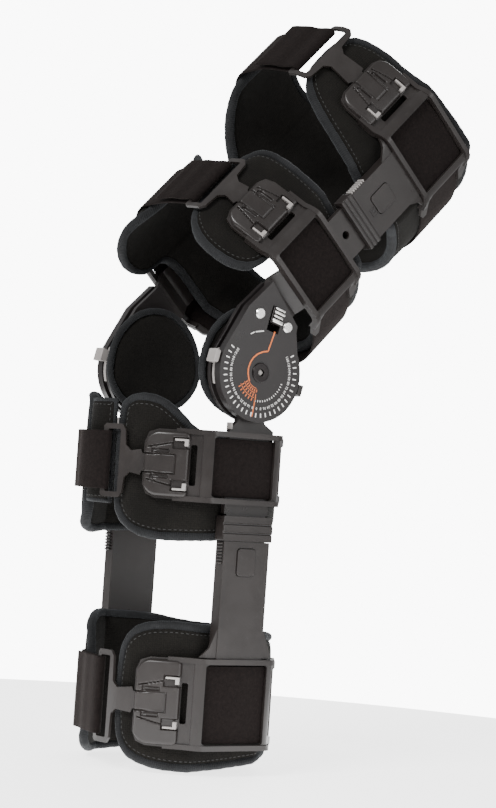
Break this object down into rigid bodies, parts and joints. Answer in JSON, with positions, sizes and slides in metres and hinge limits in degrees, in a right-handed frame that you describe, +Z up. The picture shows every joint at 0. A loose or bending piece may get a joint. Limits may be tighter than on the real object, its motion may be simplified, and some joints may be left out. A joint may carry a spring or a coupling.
{
  "type": "hinged knee brace",
  "caption": "Post-operative hinged knee brace with side uprights, dial hinges with range-of-motion stops, telescoping sleeves, foam pads and buckled straps.",
  "frame": {"origin": "on the knee axis, midway between the two hinges, in the middle of the leg", "axes": "+Z up along the shank, +X to the back of the leg, -Y to the leg's outer side"},
  "size_m": [0.3234, 0.184, 0.5797],
  "materials": {
    "charcoal_plastic": "satin, fine moulded grain",
    "dial_plate": "satin with printed scale",
    "black_metal": "black, satin",
    "bright_metal": "bright",
    "grey_plastic": "satin",
    "velour": "brushed loop",
    "foam": "knit face on foam"
  },
  "bodies": {
    "shank_frame": {"lateral_shank_bar": "charcoal_plastic", "medial_shank_bar": "charcoal_plastic", "lateral_calf_upper_wing": "charcoal_plastic", "medial_calf_upper_wing": "charcoal_plastic", "calf_upper_buckle": "charcoal_plastic", "calf_upper_strap": "velour", "calf_upper_pad": "foam", "calf_front_band": "foam"},
    "thigh_frame": {"lateral_dial_plate": "dial_plate", "lateral_back_plate": "dial_plate", "lateral_thigh_bar": "charcoal_plastic", "lateral_pivot_rivet": "black_metal", "lateral_front_rivet": "bright_metal", "lateral_rear_rivet": "bright_metal", "lateral_condyle_pad": "foam", "lateral_thigh_lower_wing": "charcoal_plastic", "medial_dial_plate": "dial_plate", "medial_back_plate": "dial_plate", "medial_thigh_bar": "charcoal_plastic", "medial_pivot_rivet": "black_metal", "medial_front_rivet": "bright_metal", "medial_rear_rivet": "bright_metal", "medial_condyle_pad": "foam", "medial_thigh_lower_wing": "charcoal_plastic", "thigh_lower_buckle": "charcoal_plastic", "thigh_lower_strap": "velour", "thigh_lower_pad": "foam"},
    "thigh_cuff": {"lateral_thigh_upper_wing": "charcoal_plastic", "lateral_thigh_upper_collar": "charcoal_plastic", "medial_thigh_upper_wing": "charcoal_plastic", "medial_thigh_upper_collar": "charcoal_plastic", "thigh_upper_buckle": "charcoal_plastic", "thigh_upper_strap": "velour", "thigh_upper_pad": "foam"},
    "shank_cuff": {"lateral_calf_lower_wing": "charcoal_plastic", "lateral_calf_lower_collar": "charcoal_plastic", "medial_calf_lower_wing": "charcoal_plastic", "medial_calf_lower_collar": "charcoal_plastic", "calf_lower_buckle": "charcoal_plastic", "calf_lower_strap": "velour", "calf_lower_pad": "foam"},
    "lateral_extension_stop": {"lateral_extension_stop": "grey_plastic"},
    "lateral_flexion_stop": {"lateral_flexion_stop": "charcoal_plastic"},
    "lateral_lock": {"lateral_lock_slide": "bright_metal"},
    "lateral_thigh_upper_button": {"lateral_thigh_upper_button": "charcoal_plastic"},
    "lateral_calf_lower_button": {"lateral_calf_lower_button": "charcoal_plastic"},
    "medial_extension_stop": {"medial_extension_stop": "grey_plastic"},
    "medial_flexion_stop": {"medial_flexion_stop": "charcoal_plastic"},
    "medial_lock": {"medial_lock_slide": "bright_metal"},
    "medial_thigh_upper_button": {"medial_thigh_upper_button": "charcoal_plastic"},
    "medial_calf_lower_button": {"medial_calf_lower_button": "charcoal_plastic"},
    "thigh_upper_top_release": {"thigh_upper_top_release": "grey_plastic"},
    "thigh_upper_bottom_release": {"thigh_upper_bottom_release": "grey_plastic"},
    "thigh_lower_top_release": {"thigh_lower_top_release": "grey_plastic"},
    "thigh_lower_bottom_release": {"thigh_lower_bottom_release": "grey_plastic"},
    "calf_upper_top_release": {"calf_upper_top_release": "grey_plastic"},
    "calf_upper_bottom_release": {"calf_upper_bottom_release": "grey_plastic"},
    "calf_lower_top_release": {"calf_lower_top_release": "grey_plastic"},
    "calf_lower_bottom_release": {"calf_lower_bottom_release": "grey_plastic"}
  },
  "joints": [
    {"name": "knee_flexion", "type": "hinge", "parent": "shank_frame", "child": "thigh_frame", "pos_m": [0, 0, 0], "axis": [0, 1, 0], "range_deg": [-44, 41]},
    {"name": "thigh_length", "type": "slide", "parent": "thigh_frame", "child": "thigh_cuff", "axis": [0.6947, 0, 0.7193], "range_m": [-0.018, 0.045]},
    {"name": "shank_length", "type": "slide", "parent": "shank_frame", "child": "shank_cuff", "axis": [0, 0, -1], "range_m": [0, 0.06]},
    {"name": "lateral_extension_setting", "type": "hinge", "parent": "thigh_frame", "child": "lateral_extension_stop", "pos_m": [0, 0, 0], "axis": [0, 1, 0], "range_deg": [0, 10]},
    {"name": "lateral_flexion_setting", "type": "hinge", "parent": "thigh_frame", "child": "lateral_flexion_stop", "pos_m": [0, 0, 0], "axis": [0, 1, 0], "range_deg": [-33, 0]},
    {"name": "lateral_lock_travel", "type": "slide", "parent": "thigh_frame", "child": "lateral_lock", "axis": [-0.2588, 0, -0.9659], "range_m": [0, 0.005]},
    {"name": "lateral_thigh_upper_button_press", "type": "slide", "parent": "thigh_cuff", "child": "lateral_thigh_upper_button", "axis": [0, 1, 0], "range_m": [0, 0.002], "stiffness_N_per_m": 400},
    {"name": "lateral_calf_lower_button_press", "type": "slide", "parent": "shank_cuff", "child": "lateral_calf_lower_button", "axis": [0, 1, 0], "range_m": [0, 0.002], "stiffness_N_per_m": 400},
    {"name": "medial_extension_setting", "type": "hinge", "parent": "thigh_frame", "child": "medial_extension_stop", "pos_m": [0, 0, 0], "axis": [0, 1, 0], "range_deg": [0, 10]},
    {"name": "medial_flexion_setting", "type": "hinge", "parent": "thigh_frame", "child": "medial_flexion_stop", "pos_m": [0, 0, 0], "axis": [0, 1, 0], "range_deg": [-33, 0]},
    {"name": "medial_lock_travel", "type": "slide", "parent": "thigh_frame", "child": "medial_lock", "axis": [-0.2588, 0, -0.9659], "range_m": [0, 0.005]},
    {"name": "medial_thigh_upper_button_press", "type": "slide", "parent": "thigh_cuff", "child": "medial_thigh_upper_button", "axis": [0, -1, 0], "range_m": [0, 0.002], "stiffness_N_per_m": 400},
    {"name": "medial_calf_lower_button_press", "type": "slide", "parent": "shank_cuff", "child": "medial_calf_lower_button", "axis": [0, -1, 0], "range_m": [0, 0.002], "stiffness_N_per_m": 400},
    {"name": "thigh_upper_top_release_press", "type": "slide", "parent": "thigh_cuff", "child": "thigh_upper_top_release", "axis": [-0.6947, 0, -0.7193], "range_m": [0, 0.0015], "stiffness_N_per_m": 500},
    {"name": "thigh_upper_bottom_release_press", "type": "slide", "parent": "thigh_cuff", "child": "thigh_upper_bottom_release", "axis": [0.6947, 0, 0.7193], "range_m": [0, 0.0015], "stiffness_N_per_m": 500},
    {"name": "thigh_lower_top_release_press", "type": "slide", "parent": "thigh_frame", "child": "thigh_lower_top_release", "axis": [-0.6947, 0, -0.7193], "range_m": [0, 0.0015], "stiffness_N_per_m": 500},
    {"name": "thigh_lower_bottom_release_press", "type": "slide", "parent": "thigh_frame", "child": "thigh_lower_bottom_release", "axis": [0.6947, 0, 0.7193], "range_m": [0, 0.0015], "stiffness_N_per_m": 500},
    {"name": "calf_upper_top_release_press", "type": "slide", "parent": "shank_frame", "child": "calf_upper_top_release", "axis": [0, 0, -1], "range_m": [0, 0.0015], "stiffness_N_per_m": 500},
    {"name": "calf_upper_bottom_release_press", "type": "slide", "parent": "shank_frame", "child": "calf_upper_bottom_release", "axis": [0, 0, 1], "range_m": [0, 0.0015], "stiffness_N_per_m": 500},
    {"name": "calf_lower_top_release_press", "type": "slide", "parent": "shank_cuff", "child": "calf_lower_top_release", "axis": [0, 0, -1], "range_m": [0, 0.0015], "stiffness_N_per_m": 500},
    {"name": "calf_lower_bottom_release_press", "type": "slide", "parent": "shank_cuff", "child": "calf_lower_bottom_release", "axis": [0, 0, 1], "range_m": [0, 0.0015], "stiffness_N_per_m": 500}
  ],
  "couplings": [
    {"joint": "thigh_upper_bottom_release_press", "follows": "thigh_upper_top_release_press", "ratio": 1},
    {"joint": "thigh_lower_bottom_release_press", "follows": "thigh_lower_top_release_press", "ratio": 1},
    {"joint": "calf_upper_bottom_release_press", "follows": "calf_upper_top_release_press", "ratio": 1},
    {"joint": "calf_lower_bottom_release_press", "follows": "calf_lower_top_release_press", "ratio": 1}
  ]
}
